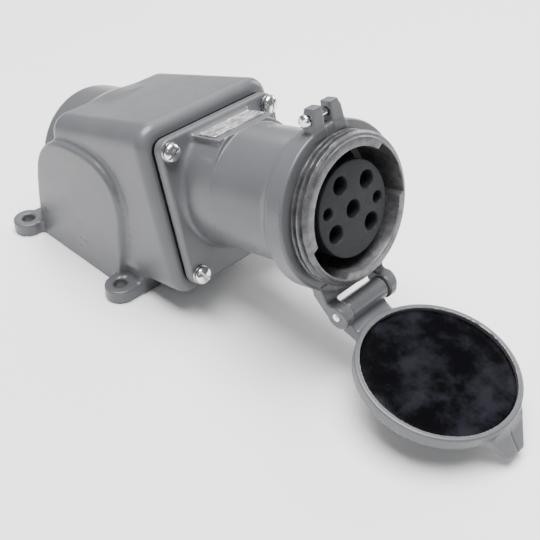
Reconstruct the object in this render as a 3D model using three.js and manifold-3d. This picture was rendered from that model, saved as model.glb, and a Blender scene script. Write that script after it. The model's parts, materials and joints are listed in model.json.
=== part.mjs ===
// Angled pin-and-sleeve power receptacle: cast back box, hinged flap cover, five sockets and two pilots.
// World frame in millimetres: z = 0 is the plane of the mounting feet, x = 0 the plane of symmetry.
// The receptacle is built about its own axis (local +z out of the mouth, local y up) and then tilted.
import * as THREE from 'three';
import { mergeVertices } from 'three/addons/utils/BufferGeometryUtils.js';
import Module from 'manifold-3d';

const wasm = await Module();
wasm.setup();

// ---- Driving dimensions ----------------------------------------------------------------------
const GAP = 0.3;                    // between pieces that touch
const PAST = 200;                   // how far a cutter runs past the piece it cuts
const TILT = 15;                    // receptacle axis above the mounting plane, degrees
const FLANGE_CENTRE_HEIGHT = 90;    // flange centre above the feet
const AXIS_OFFSET = 6;              // receptacle axis above the flange centre

const FLANGE = { halfX: 54.5, halfY: 56.5, corner: 9, thick: 9, edge: 1.5 };
const SHEET = { thick: 2.4, margin: 0.5, windowX: 40, windowY: 42, windowCorner: 14 };
const BOX_FRONT = -(FLANGE.thick + SHEET.thick + 2 * GAP);
const BOX = { halfX: 62.3, halfY: 66.7, corner: 16, edge: 8, length: 122 };
const BOX_REAR = { scaleX: 0.963, scaleY: 0.923 };
const BOX_BACK = BOX_FRONT - BOX.length;
const CAVITY = { halfX: 51, halfY: 52, corner: 10, length: 112 };
const HUB = { radius: 55, lift: 0.6, end: -171, edge: 3, root: 20 };
const HUB_BORE = { radius: 42, depth: 26, stop: 38, stopFrom: 20 };
const FOOT = { x: 72, frontY: 55, rearY: 180, radius: 12.5, thick: 11, hole: 5.35, webIn: 54, webShort: 6 };

// Each cheek is an arch seen from the side; its edges lean forward and its foot stands below z = 0.
const CHEEK = { inner: 50, outer: 66.5, edge: 4.5, inset: 9 };
const ARCH = {
  frontFoot: [58, -12], frontTop: [49.5, 66], crown: [94, 112.5], shoulder: [163.5, 76], rearFoot: [176, -12],
  frontPulls: [48.5, 97, 66, 112.5], crownPulls: [128, 112.5, 152, 103], rearPull: [174, 45],
};

const SCREW_AT = { x: 47.5, y: 48, firstSlot: 30, slotStep: 47 };
const FLANGE_SCREW = { head: 7.1, headHeight: 4.6, shank: 3.9, length: 28 };
const FLANGE_TAP = { radius: 4.2, depth: 21, boss: 9, bossDepth: 24, clearance: 4.4 };
const WASHER = { inner: 4.2, outer: 7.6, thick: 2, slit: 0.8, slitAngle: 35 };
const GROUND = { z: -62, boss: 7, height: 10, sunk: 6, tap: 2.9, tapSunk: 2 };
const GROUND_SCREW = { head: 5.2, headHeight: 3.4, shank: 2.6, length: 8 };

const RIM = 122;                    // mouth of the receptacle, ahead of the flange face
const BARREL = { radius: 46, bore: 41, fillet: 4, shoulder: 37.5, shoulderAt: 70, shoulderThick: 4 };
const COLLAR = { radius: 57, back: 97, front: 108.3, edge: 1.2, flareFrom: 87 };
const SPIGOT = { radius: 47.3, from: 90 };
const SADDLE = { radius: 44, lift: 6, length: 30 };
const PAD = { halfX: 26.5, length: 29, top: 45.8, root: 20 };
const RIB = { halfX: 11, halfY: 8, corner: 5, centreY: -45, from: 12, to: 54, edge: 3 };
const THREAD = { crest: 50.9, root: 48, pitch: 4.4, turns: 3, crestAt: 2, crestLong: 0.9, ridgeLong: 2.4 };
const MOUTH = { face: 46.2, chamfer: 0.8 };
const KEYWAYS = [{ from: -19, to: 49 }, { from: 188, to: 245 }];
const KEYWAY = { radius: 45.5, inner: 30, depth: 62 };
const NAMEPLATE = { halfX: 24, from: 5, to: 22.5, corner: 1.5, thick: 0.8 };
const LUG = { inner: 3.5, outer: 13.5, root: 52, flare: 2, top: 70.5, chamfer: 2.5, back: 99.5, hole: 2.8 };
const LUG_SCREW = { y: 64, z: 104, head: 4.6, headHeight: 3.4, shank: 2.4, past: 4, stand: 2.2 };

const HINGE = { y: -69.2, z: RIM - 9.7, pin: 3, play: 0.15, pinPast: 0.8 };
const KNUCKLE = { radius: 8, half: 18.5, room: 0.9 };
const EAR = { inner: 19, outer: 26.5, radius: 9.5 };
const EAR_SIDE = [
  [-45, COLLAR.back + 3], [-45, COLLAR.front], [-58, COLLAR.front], [HINGE.y + 2, HINGE.z + 9],
  [HINGE.y - 2, HINGE.z - EAR.radius], [-54, COLLAR.back + 1],
];
const EAR_PLAN = [[EAR.inner, -48], [33, -45.5], [EAR.outer, -71], [EAR.outer, -80], [EAR.inner, -80]];

const INSULATOR = { radius: 32.5, face: RIM - 4.5, edge: 1, base: 40.6, back: 33, mouthEdge: 1.2 };
const SPLIT = BARREL.shoulderAt - GAP;      // front face of the rear insulator
const POWER = { body: 7, bore: 5.6, flange: 8.6, mouth: 6.1, terminal: 2.4, terminalHole: 2.6 };
const PILOT = { body: 4.6, bore: 3.2, flange: 5.4, mouth: 4.1, terminal: 1.5, terminalHole: 1.7 };
const SOCKET = { front: INSULATOR.face - 12, back: 18, flangeThick: 4, lead: 0.6, depth: 38, cone: 4 };
const WIRE_CUP = { depth: 16, bore: 0.8 };
const TERMINAL = { at: SOCKET.back + 6, out: 1.6, slot: 0.35 };
const TIE = { circle: 26, angles: [77, 260], sunk: 4, tap: 2.2, tapDepth: 16, clearance: 2.3, seat: 4.2 };
const TIE_SCREW = { head: 3.6, headHeight: 2.4, shank: 1.9, length: 48 };
const RING = { inner: 38.2, outer: 42.6, groove: 43, thick: 2.1, gap: 6 };

const COVER_OPEN = 115;             // degrees from closed to the open stop
const COVER = { outer: 56.5, inner: 52.8, lip: RIM - 2.2, lipEdge: 1.2, padThick: 4, padEdge: 0.8 };
const DOME = [
  [COVER.outer, RIM + 6.5], [COVER.outer - 1.5, RIM + 8.9], [COVER.outer - 5, RIM + 10.1], [40, RIM + 11.5],
  [22, RIM + 12.3], [0, RIM + 12.5],
];
const NECK_SIDE = [
  [-54.5, RIM + 8.5], [-54.5, RIM - 0.5], [-60, RIM - 2.5], [HINGE.y, HINGE.z + 2],
  [HINGE.y - 7, HINGE.z + 3], [-66, RIM + 7.5],
];
const TAB_SIDE = [
  [50, RIM + 1], [56.5, RIM + 1.5], [70.6, RIM + 15.5], [68.2, RIM + 18.5], [56.5, RIM + 9], [48, RIM + 9],
];
const TAB_PLAN = [[-21, 45], [21, 45], [19, 55], [7.6, 69.4], [6, 70.6], [-6, 70.6], [-7.6, 69.4], [-19, 55]];

// Contacts are at an angle on a circle about the receptacle's axis; their terminals face outward.
const CONTACTS = [
  { name: 'power_socket_1', size: POWER, circle: 21.4, angle: 113 },
  { name: 'power_socket_2', size: POWER, circle: 21.4, angle: 41.5 },
  { name: 'power_socket_3', size: POWER, circle: 21.4, angle: -46.5 },
  { name: 'power_socket_4', size: POWER, circle: 21.4, angle: 207 },
  { name: 'centre_socket', size: POWER, circle: 0, angle: 160 },
  { name: 'pilot_socket_1', size: PILOT, circle: 23.8, angle: -4.5 },
  { name: 'pilot_socket_2', size: PILOT, circle: 23.8, angle: 164.5 },
];

// ---- Materials -------------------------------------------------------------------------------
function finish(color, roughness, metalness) {
  return new THREE.MeshStandardMaterial({ color, roughness, metalness });
}

const PAINT = finish(0x96989c, 0.45, 0.2);
const RAW_CASTING = finish(0x8b8d8f, 0.5, 0.6);
const RUBBER = finish(0x17181c, 0.6, 0);
const PHENOLIC = finish(0x3c3f42, 0.5, 0);
const BRASS = finish(0xb08a45, 0.35, 0.9);
const STAINLESS = finish(0xc4c6c8, 0.25, 0.95);
const SPRING_STEEL = finish(0x6f7276, 0.35, 0.9);
const LABEL = finish(0xcfd1d3, 0.3, 0.8);

// ---- Solids ----------------------------------------------------------------------------------
const rad = THREE.MathUtils.degToRad;
const ROUND = 36;                   // sides of a large circle
const SMALL_ROUND = 24;
const TINY_ROUND = 16;

function solid(geometry) {
  const bare = geometry.clone();
  for (const name of Object.keys(bare.attributes)) if (name !== 'position') bare.deleteAttribute(name);
  const merged = mergeVertices(bare, 1e-4);
  const index = merged.index.array;
  const position = merged.attributes.position;
  const triangles = [];
  let volume = 0;
  const [a, b, c] = [new THREE.Vector3(), new THREE.Vector3(), new THREE.Vector3()];
  for (let i = 0; i < index.length; i += 3) {
    const [p, q, r] = [index[i], index[i + 1], index[i + 2]];
    if (p === q || q === r || r === p) continue;
    triangles.push([p, q, r]);
    volume += a.fromBufferAttribute(position, p)
      .dot(b.fromBufferAttribute(position, q).cross(c.fromBufferAttribute(position, r)));
  }
  const wound = volume < 0 ? triangles.map(([p, q, r]) => [p, r, q]) : triangles;
  const vertProperties = new Float32Array(position.array);
  const triVerts = new Uint32Array(wound.flat());
  return new wasm.Manifold(new wasm.Mesh({ numProp: 3, vertProperties, triVerts }));
}

function geometryOf(manifold) {
  const mesh = manifold.getMesh();
  const geometry = new THREE.BufferGeometry();
  geometry.setAttribute('position', new THREE.BufferAttribute(new Float32Array(mesh.vertProperties), 3));
  geometry.setIndex(new THREE.BufferAttribute(new Uint32Array(mesh.triVerts), 1));
  const flat = geometry.toNonIndexed();
  flat.computeVertexNormals();
  return flat;
}

const join = (...pieces) => pieces.reduce((whole, piece) => whole.add(piece));
const cut = (body, ...tools) => tools.reduce((whole, tool) => whole.subtract(tool), body);

const moved = (manifold, matrix) => manifold.transform(matrix.elements);
const shifted = (manifold, x, y, z) => moved(manifold, new THREE.Matrix4().makeTranslation(x, y, z));
const alongX = (manifold) => moved(manifold, new THREE.Matrix4().makeRotationY(Math.PI / 2));
const alongMinusX = (manifold) => moved(manifold, new THREE.Matrix4().makeRotationY(-Math.PI / 2));
const alongY = (manifold) => moved(manifold, new THREE.Matrix4().makeRotationX(-Math.PI / 2));
const spun = (manifold, degrees) => moved(manifold, new THREE.Matrix4().makeRotationZ(rad(degrees)));

// A turned piece about +z from [radius, z] points that start and end on the axis or close on themselves.
function turned(profile, segments = ROUND) {
  const points = profile.map(([r, z]) => new THREE.Vector2(r, z));
  return solid(new THREE.LatheGeometry(points, segments).rotateX(Math.PI / 2));
}

function rod(radius, z0, z1, segments = ROUND) {
  return turned([[0, z0], [radius, z0], [radius, z1], [0, z1]], segments);
}

function washer(inner, outer, z0, z1, segments) {
  return turned([[inner, z0], [outer, z0], [outer, z1], [inner, z1], [inner, z0]], segments);
}

function block([x0, x1], [y0, y1], [z0, z1]) {
  const box = new THREE.BoxGeometry(x1 - x0, y1 - y0, z1 - z0);
  return solid(box.translate((x0 + x1) / 2, (y0 + y1) / 2, (z0 + z1) / 2));
}

// A flat outline in x and y raised from z0 to z1. Its edges are rounded over the last `edge` of height
// and the outer `inset` of the outline, inside those limits.
function raisedGeometry(shape, z0, z1, { edge = 0, inset = edge, curveSegments = 6, bevelSegments = 2 }) {
  const depth = z1 - z0 - 2 * edge;
  const bevel = { bevelThickness: edge, bevelSize: inset, bevelOffset: -inset, bevelSegments };
  const settings = { depth, curveSegments, bevelEnabled: edge > 0, ...bevel };
  return new THREE.ExtrudeGeometry(shape, settings).translate(0, 0, z0 + edge);
}

const raised = (shape, z0, z1, options = {}) => solid(raisedGeometry(shape, z0, z1, options));

// The same with draft: each section shrinks about the axis, down to the two given scales at z0.
function drafted(shape, z0, z1, edge, scaleX, scaleY) {
  const geometry = raisedGeometry(shape, z0, z1, { edge, bevelSegments: 3 });
  const position = geometry.attributes.position;
  const { mapLinear } = THREE.MathUtils;
  for (let i = 0; i < position.count; i += 1) {
    const z = position.getZ(i);
    position.setX(i, position.getX(i) * mapLinear(z, z0, z1, scaleX, 1));
    position.setY(i, position.getY(i) * mapLinear(z, z0, z1, scaleY, 1));
  }
  return solid(geometry);
}

// The same as `raised` with the outline drawn in y and z and raised along x.
function raisedAlongX(shape, x0, x1, options) {
  const turn = new THREE.Matrix4().makeBasis(
    new THREE.Vector3(0, 1, 0), new THREE.Vector3(0, 0, 1), new THREE.Vector3(1, 0, 0));
  return moved(raised(shape, x0, x1, options), turn);
}

function roundedRect(halfX, halfY, corner, centreY = 0) {
  const shape = new THREE.Shape();
  const [right, top, bottom] = [halfX - corner, centreY + halfY - corner, centreY - halfY + corner];
  shape.absarc(right, top, corner, 0, Math.PI / 2);
  shape.absarc(-right, top, corner, Math.PI / 2, Math.PI);
  shape.absarc(-right, bottom, corner, Math.PI, 1.5 * Math.PI);
  shape.absarc(right, bottom, corner, 1.5 * Math.PI, 2 * Math.PI);
  return shape;
}

const polygon = (points) => new THREE.Shape(points.map(([x, y]) => new THREE.Vector2(x, y)));

// An outline drawn on the right, or its mirror image on the left.
function onSide(side, points) {
  const placed = points.map(([x, y]) => [side * x, y]);
  return polygon(side < 0 ? placed.reverse() : placed);
}

// ---- Frames ----------------------------------------------------------------------------------
const axisRise = AXIS_OFFSET * Math.cos(rad(TILT));
const axisLean = AXIS_OFFSET * Math.sin(rad(TILT));
const receptacleFrame = new THREE.Matrix4()
  .makeTranslation(0, axisLean, FLANGE_CENTRE_HEIGHT + axisRise)
  .multiply(new THREE.Matrix4().makeRotationX(rad(90 - TILT)));
const coverFrame = new THREE.Matrix4()
  .makeTranslation(0, HINGE.y, HINGE.z)
  .multiply(new THREE.Matrix4().makeRotationX(rad(COVER_OPEN)))
  .multiply(new THREE.Matrix4().makeTranslation(0, -HINGE.y, -HINGE.z));

// The world origin is the middle of the four foot holes on the mounting plane.
const assembly = new THREE.Group();
assembly.position.y = -(FOOT.frontY + FOOT.rearY) / 2;
const receptacle = new THREE.Group();
receptacle.applyMatrix4(receptacleFrame);
const flap = new THREE.Group();
flap.applyMatrix4(coverFrame);
receptacle.add(flap);
assembly.add(receptacle);

function place(group, name, manifold, material) {
  const mesh = new THREE.Mesh(geometryOf(manifold), material);
  mesh.name = name;
  group.add(mesh);
}

const SIDES = [-1, 1];
const flangeCorners = [[-1, 1], [1, 1], [-1, -1], [1, -1]];
const screwCentres = flangeCorners.map(([sx, sy]) => [sx * SCREW_AT.x, sy * SCREW_AT.y - AXIS_OFFSET]);
const footCentres = SIDES.flatMap((side) => [[side * FOOT.x, FOOT.frontY], [side * FOOT.x, FOOT.rearY]]);
const cavityFloor = -AXIS_OFFSET - CAVITY.halfY;

const atScrews = (manifold) => screwCentres.map(([x, y]) => shifted(manifold, x, y, 0));
const atAngle = (circle, degrees) => [circle * Math.cos(rad(degrees)), circle * Math.sin(rad(degrees))];
const atContact = (manifold, { circle, angle }) => shifted(manifold, ...atAngle(circle, angle), 0);
const atTies = (manifold) => TIE.angles.map((angle) => shifted(manifold, ...atAngle(TIE.circle, angle), 0));
const onHinge = (manifold) => shifted(alongX(manifold), 0, HINGE.y, HINGE.z);

// ---- Back box --------------------------------------------------------------------------------
function cheek(side) {
  const shape = new THREE.Shape();
  shape.moveTo(...ARCH.frontFoot);
  shape.lineTo(...ARCH.frontTop);
  shape.bezierCurveTo(...ARCH.frontPulls, ...ARCH.crown);
  shape.bezierCurveTo(...ARCH.crownPulls, ...ARCH.shoulder);
  shape.quadraticCurveTo(...ARCH.rearPull, ...ARCH.rearFoot);
  const [low, high] = side < 0 ? [-CHEEK.outer, -CHEEK.inner] : [CHEEK.inner, CHEEK.outer];
  return raisedAlongX(shape, low, high, { edge: CHEEK.edge, inset: CHEEK.inset, curveSegments: 8 });
}

// The front feet are the ends of one bar; each rear foot is a round lug on a short web.
function footPlates() {
  const bar = roundedRect(FOOT.x + FOOT.radius, FOOT.radius, FOOT.radius - 0.01, FOOT.frontY);
  const rearLugs = SIDES.map((side) => {
    const lug = shifted(rod(FOOT.radius, 0, FOOT.thick, 32), side * FOOT.x, FOOT.rearY, 0);
    const across = [side * FOOT.webIn, side * FOOT.x].sort((a, b) => a - b);
    const along = [FOOT.rearY - FOOT.radius, FOOT.rearY + FOOT.radius - FOOT.webShort];
    return lug.add(block(across, along, [0, FOOT.thick]));
  });
  return join(raised(bar, 0, FOOT.thick), ...rearLugs);
}

function boxOutside() {
  const shell = roundedRect(BOX.halfX, BOX.halfY, BOX.corner);
  const body = drafted(shell, BOX_BACK, BOX_FRONT, BOX.edge, BOX_REAR.scaleX, BOX_REAR.scaleY);
  const hub = turned([[0, BOX_BACK + HUB.root], [HUB.radius, BOX_BACK + HUB.root],
    [HUB.radius, HUB.end + HUB.edge], [HUB.radius - HUB.edge, HUB.end], [0, HUB.end]]);
  const tilted = join(shifted(body, 0, -AXIS_OFFSET, 0), shifted(hub, 0, HUB.lift, 0));
  return join(moved(tilted, receptacleFrame), ...SIDES.map(cheek), footPlates());
}

function boxInside() {
  const space = roundedRect(CAVITY.halfX, CAVITY.halfY, CAVITY.corner, -AXIS_OFFSET);
  const cavity = raised(space, BOX_FRONT - CAVITY.length, 0);
  const bosses = atScrews(rod(FLANGE_TAP.boss, BOX_FRONT - FLANGE_TAP.bossDepth, BOX_FRONT, SMALL_ROUND));
  const groundBoss = alongY(rod(GROUND.boss, -GROUND.sunk, GROUND.height, SMALL_ROUND));
  const bore = join(rod(HUB_BORE.stop, HUB.end + HUB_BORE.stopFrom, BOX_BACK + HUB.root),
    rod(HUB_BORE.radius, HUB.end - 1, HUB.end + HUB_BORE.depth));
  const hollow = cut(cavity, ...bosses, shifted(groundBoss, 0, cavityFloor, GROUND.z));
  return join(hollow, shifted(bore, 0, HUB.lift, 0));
}

function backBox() {
  const screwTaps = atScrews(rod(FLANGE_TAP.radius, BOX_FRONT - FLANGE_TAP.depth, 1, 20));
  const groundTap = alongY(rod(GROUND.tap, -GROUND.tapSunk, GROUND.height + 1, TINY_ROUND));
  const tilted = [boxInside(), ...screwTaps, shifted(groundTap, 0, cavityFloor, GROUND.z)];
  const footHole = rod(FOOT.hole, -1, FOOT.thick + 1, SMALL_ROUND);
  const footHoles = footCentres.map(([x, y]) => shifted(footHole, x, y, 0));
  const below = block([-PAST, PAST], [-PAST, 2 * PAST], [-PAST, 0]);
  return cut(boxOutside(), ...tilted.map((tool) => moved(tool, receptacleFrame)), ...footHoles, below);
}

// ---- Receptacle housing ----------------------------------------------------------------------
function hingeEar(side) {
  const eye = shifted(alongX(rod(EAR.radius, -PAST, PAST, SMALL_ROUND)), 0, HINGE.y, HINGE.z);
  const profile = raisedAlongX(polygon(EAR_SIDE), -PAST, PAST).add(eye);
  return profile.intersect(raised(onSide(side, EAR_PLAN), -PAST, PAST));
}

function coverLug(side) {
  const { inner, outer, root, flare, top, chamfer, back } = LUG;
  const outline = [[inner, root], [outer + flare, root], [outer, top - 2 * chamfer], [outer - chamfer, top],
    [inner, top]];
  return raised(onSide(side, outline), back, COLLAR.front);
}

// The tube from the flange to the collar, with a fillet at its root and a flare at its nose.
function shell() {
  const { radius, fillet } = BARREL;
  const { back, front, edge, flareFrom } = COLLAR;
  return turned([[0, -FLANGE.thick], [radius + fillet, -FLANGE.thick], [radius + fillet, 0.2],
    [radius + 0.5 * fillet, 1], [radius + 0.2 * fillet, 2.6], [radius, fillet + 1], [radius, flareFrom],
    [radius + 2, flareFrom + 4], [COLLAR.radius - 3, back - 2], [COLLAR.radius, back],
    [COLLAR.radius, front - edge], [COLLAR.radius - edge, front], [0, front]]);
}

// The raised seat of the nameplate, on a saddle round the upper side of the tube's root.
function nameplateSeat() {
  const saddle = shifted(rod(SADDLE.radius, -FLANGE.thick, SADDLE.length), 0, SADDLE.lift, 0);
  const above = block([-PAST, PAST], [PAD.top, PAST], [-PAST, PAST]);
  const pad = block([-PAD.halfX, PAD.halfX], [PAD.root, PAD.top], [-1, PAD.length]);
  return cut(saddle, above).add(pad);
}

function housingOutside() {
  const plate = roundedRect(FLANGE.halfX, FLANGE.halfY, FLANGE.corner, -AXIS_OFFSET);
  const flange = raised(plate, -FLANGE.thick, 0, { edge: FLANGE.edge });
  const ribOutline = roundedRect(RIB.halfX, RIB.halfY, RIB.corner, RIB.centreY);
  const rib = raised(ribOutline, RIB.from, RIB.to, { edge: RIB.edge });
  return join(flange, shell(), nameplateSeat(), rib, ...SIDES.map(hingeEar), ...SIDES.map(coverLug));
}

function housing() {
  const { bore, shoulder, shoulderAt, shoulderThick } = BARREL;
  const grooveFrom = INSULATOR.back - GAP - RING.thick - GAP;
  const hollow = turned([[0, -PAST], [bore, -PAST], [bore, grooveFrom], [RING.groove, grooveFrom],
    [RING.groove, INSULATOR.back], [bore, INSULATOR.back], [bore, shoulderAt], [shoulder, shoulderAt],
    [shoulder, shoulderAt + shoulderThick], [bore, shoulderAt + shoulderThick], [bore, SPIGOT.from],
    [SPIGOT.radius, SPIGOT.from], [SPIGOT.radius, PAST], [0, PAST]]);
  const knuckleRoom = onHinge(rod(KNUCKLE.radius + KNUCKLE.room, -EAR.inner, EAR.inner, SMALL_ROUND));
  const pinHole = onHinge(rod(HINGE.pin + HINGE.play, -PAST, PAST, SMALL_ROUND));
  const lugHole = shifted(alongX(rod(LUG.hole, -PAST, PAST, 20)), 0, LUG_SCREW.y, LUG_SCREW.z);
  const screwHoles = atScrews(rod(FLANGE_TAP.clearance, -PAST, 20, TINY_ROUND));
  return cut(housingOutside(), hollow, knuckleRoom, pinHole, lugHole, ...screwHoles);
}

function keyway({ from, to }) {
  const shape = new THREE.Shape();
  shape.moveTo(...atAngle(KEYWAY.inner, from));
  shape.absarc(0, 0, KEYWAY.radius, rad(from), rad(to));
  shape.lineTo(...atAngle(KEYWAY.inner, to));
  return raised(shape, RIM - KEYWAY.depth, PAST, { curveSegments: 16 });
}

function threadedSleeve() {
  const { crest, root, pitch, turns, crestAt, crestLong, ridgeLong } = THREAD;
  const from = SPIGOT.from + GAP;
  const to = COLLAR.front + GAP;
  const spigot = SPIGOT.radius - GAP;
  const ridges = Array.from({ length: turns }, (_, i) => RIM - crestAt - (turns - 1 - i) * pitch)
    .flatMap((z) => [[root, z - ridgeLong], [crest, z - crestLong], [crest, z]]);
  const ring = turned([[BARREL.bore, from], [spigot, from], [spigot, to], [root, to], ...ridges,
    [MOUTH.face, RIM], [BARREL.bore + MOUTH.chamfer, RIM], [BARREL.bore, RIM - MOUTH.chamfer],
    [BARREL.bore, from]]);
  return cut(ring, ...KEYWAYS.map(keyway));
}

function nameplate() {
  const shape = roundedRect(NAMEPLATE.halfX, (NAMEPLATE.to - NAMEPLATE.from) / 2, NAMEPLATE.corner);
  const plate = alongY(raised(shape, 0, NAMEPLATE.thick, { curveSegments: 3 }));
  return shifted(plate, 0, PAD.top + GAP, (NAMEPLATE.from + NAMEPLATE.to) / 2);
}

function flangeGasket() {
  const { thick, margin, windowX, windowY, windowCorner } = SHEET;
  const outline = roundedRect(FLANGE.halfX - margin, FLANGE.halfY - margin, FLANGE.corner, -AXIS_OFFSET);
  const sheet = raised(outline, BOX_FRONT + GAP, BOX_FRONT + GAP + thick);
  const window = raised(roundedRect(windowX, windowY, windowCorner, -AXIS_OFFSET), -PAST, PAST);
  return cut(sheet, window, ...atScrews(rod(FLANGE_TAP.clearance, -PAST, PAST, TINY_ROUND)));
}

// ---- Fasteners -------------------------------------------------------------------------------
// A slotted screw with its domed head standing on z = 0 and its shank below.
function domeScrew({ head, headHeight, shank, length }) {
  const slotHalf = 0.7;
  const body = turned([[0, -length], [shank - 0.6, -length], [shank, -length + 0.8], [shank, 0], [head, 0],
    [head, headHeight * 0.3], [head * 0.86, headHeight * 0.72], [head * 0.5, headHeight * 0.95],
    [0, headHeight]], TINY_ROUND);
  return cut(body, block([-slotHalf, slotHalf], [-PAST, PAST], [headHeight * 0.5, PAST]));
}

function lockWasher() {
  const ring = washer(WASHER.inner, WASHER.outer, 0, WASHER.thick, TINY_ROUND);
  const slit = block([0, PAST], [-WASHER.slit, WASHER.slit], [-PAST, PAST]);
  return cut(ring, spun(slit, WASHER.slitAngle));
}

function lugScrew() {
  const length = 2 * LUG.outer + LUG_SCREW.past;
  const body = alongMinusX(domeScrew({ ...LUG_SCREW, length }));
  return shifted(body, -LUG.outer - LUG_SCREW.stand, LUG_SCREW.y, LUG_SCREW.z);
}

function hingePin() {
  const half = EAR.outer + HINGE.pinPast;
  return onHinge(rod(HINGE.pin, -half, half, SMALL_ROUND));
}

// ---- Insulators and contacts -----------------------------------------------------------------
function frontInsulator() {
  const { radius, face, edge, mouthEdge } = INSULATOR;
  const back = SPLIT + GAP;
  const body = turned([[0, back], [radius, back], [radius, face - edge], [radius - edge, face], [0, face]]);
  const holes = CONTACTS.map((contact) => {
    const { body: inner, mouth } = contact.size;
    const hole = turned([[0, 0], [inner + GAP, 0], [inner + GAP, SOCKET.front + GAP],
      [mouth, SOCKET.front + GAP], [mouth, face - mouthEdge], [mouth + mouthEdge, face + 0.001],
      [mouth + mouthEdge, PAST], [0, PAST]], TINY_ROUND);
    return atContact(hole, contact);
  });
  return cut(body, ...holes, ...atTies(rod(TIE.tap, 0, SPLIT + TIE.tapDepth, 12)));
}

function rearInsulator() {
  const { base, edge, back } = INSULATOR;
  const body = turned([[0, back], [base - edge, back], [base, back + edge], [base, SPLIT], [0, SPLIT]]);
  const holes = CONTACTS.map((contact) => {
    const { body: inner, flange } = contact.size;
    const seat = SPLIT - SOCKET.flangeThick;
    const hole = turned([[0, 0], [inner + GAP, 0], [inner + GAP, seat], [flange + GAP, seat],
      [flange + GAP, PAST], [0, PAST]], TINY_ROUND);
    return atContact(hole, contact);
  });
  const screwHole = join(rod(TIE.clearance, 0, PAST, 12), rod(TIE.seat, 0, back + TIE.sunk, 12));
  return cut(body, ...holes, ...atTies(screwHole));
}

function socket({ size, angle }) {
  const { body, bore, flange, terminalHole } = size;
  const { front, back, flangeThick, lead, depth, cone } = SOCKET;
  const cup = bore * WIRE_CUP.bore;
  const seat = SPLIT - flangeThick + GAP;
  const tube = turned([[0, back + WIRE_CUP.depth], [cup, back + WIRE_CUP.depth], [cup, back], [body, back],
    [body, seat], [flange, seat], [flange, SPLIT - GAP], [body, SPLIT - GAP], [body, front],
    [bore + lead, front], [bore, front - 1], [bore, front - depth], [0, front - depth - cone]], TINY_ROUND);
  const screwHole = shifted(alongX(rod(terminalHole, bore * 0.4, PAST, 12)), 0, 0, TERMINAL.at);
  return tube.subtract(spun(screwHole, angle));
}

function terminalScrew({ size, angle }) {
  const outerEnd = size.body + TERMINAL.out;
  const slot = block([-TERMINAL.slot, TERMINAL.slot], [-PAST, PAST], [outerEnd - 1, PAST]);
  const body = rod(size.terminal, size.bore * 0.3, outerEnd, 12).subtract(slot);
  return spun(shifted(alongX(body), 0, 0, TERMINAL.at), angle);
}

function retainingRing() {
  const front = INSULATOR.back - GAP;
  const ring = washer(RING.inner, RING.outer, front - RING.thick, front);
  return cut(ring, block([-RING.gap, RING.gap], [-PAST, 0], [-PAST, PAST]));
}

// ---- Cover, modelled closed over the mouth ---------------------------------------------------
function coverTab() {
  const side = raisedAlongX(polygon(TAB_SIDE), -PAST, PAST);
  return side.intersect(raised(polygon(TAB_PLAN), -PAST, PAST));
}

function cover() {
  const { outer, inner, lip, lipEdge, padThick } = COVER;
  const seat = RIM + GAP + padThick + GAP;
  const dish = turned([[0, seat], [inner, seat], [inner, lip + 0.6], [inner + 0.6, lip],
    [outer - lipEdge, lip], [outer, lip + lipEdge], ...DOME]);
  const half = KNUCKLE.half;
  const neck = raisedAlongX(polygon(NECK_SIDE), -half, half).subtract(rod(inner + 1, 0, seat - 0.2));
  const knuckle = onHinge(rod(KNUCKLE.radius, -half, half, SMALL_ROUND));
  const pinHole = onHinge(rod(HINGE.pin + HINGE.play, -PAST, PAST, SMALL_ROUND));
  return cut(join(dish, neck, knuckle, coverTab()), rod(inner - 0.01, 0, seat), pinHole);
}

function coverGasket() {
  const { inner, padThick, padEdge } = COVER;
  const [front, back, radius] = [RIM + GAP, RIM + GAP + padThick, inner - GAP];
  return turned([[0, front], [radius - padEdge, front], [radius, front + padEdge], [radius, back],
    [0, back]]);
}

// ---- Assembly --------------------------------------------------------------------------------
place(assembly, 'back_box', backBox(), PAINT);
place(receptacle, 'flange_gasket', flangeGasket(), RUBBER);
place(receptacle, 'receptacle_housing', housing(), PAINT);
place(receptacle, 'threaded_sleeve', threadedSleeve(), RAW_CASTING);
place(receptacle, 'nameplate', nameplate(), LABEL);
place(receptacle, 'front_insulator', frontInsulator(), PHENOLIC);
place(receptacle, 'rear_insulator', rearInsulator(), PHENOLIC);
place(receptacle, 'retaining_ring', retainingRing(), SPRING_STEEL);
for (const contact of CONTACTS) {
  const screwName = contact.name.replace('socket', 'terminal_screw');
  place(receptacle, contact.name, atContact(socket(contact), contact), BRASS);
  place(receptacle, screwName, atContact(terminalScrew(contact), contact), STAINLESS);
}
const tieScrew = moved(domeScrew(TIE_SCREW), new THREE.Matrix4().makeRotationX(Math.PI));
atTies(tieScrew).forEach((screw, i) => {
  const headSeat = INSULATOR.back + TIE.sunk - GAP;
  place(receptacle, `insulator_screw_${i + 1}`, shifted(screw, 0, 0, headSeat), STAINLESS);
});
screwCentres.forEach(([x, y], i) => {
  const screw = spun(domeScrew(FLANGE_SCREW), SCREW_AT.firstSlot + i * SCREW_AT.slotStep);
  place(receptacle, `lock_washer_${i + 1}`, shifted(lockWasher(), x, y, GAP), SPRING_STEEL);
  place(receptacle, `flange_screw_${i + 1}`, shifted(screw, x, y, WASHER.thick + 2 * GAP), STAINLESS);
});
place(receptacle, 'lug_screw', lugScrew(), STAINLESS);
place(receptacle, 'hinge_pin', hingePin(), STAINLESS);
const groundSeat = cavityFloor + GROUND.height + GAP;
const groundScrew = shifted(alongY(domeScrew(GROUND_SCREW)), 0, groundSeat, GROUND.z);
place(receptacle, 'ground_screw', groundScrew, BRASS);
place(flap, 'cover', cover(), PAINT);
place(flap, 'cover_gasket', coverGasket(), RUBBER);

export default assembly;
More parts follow.
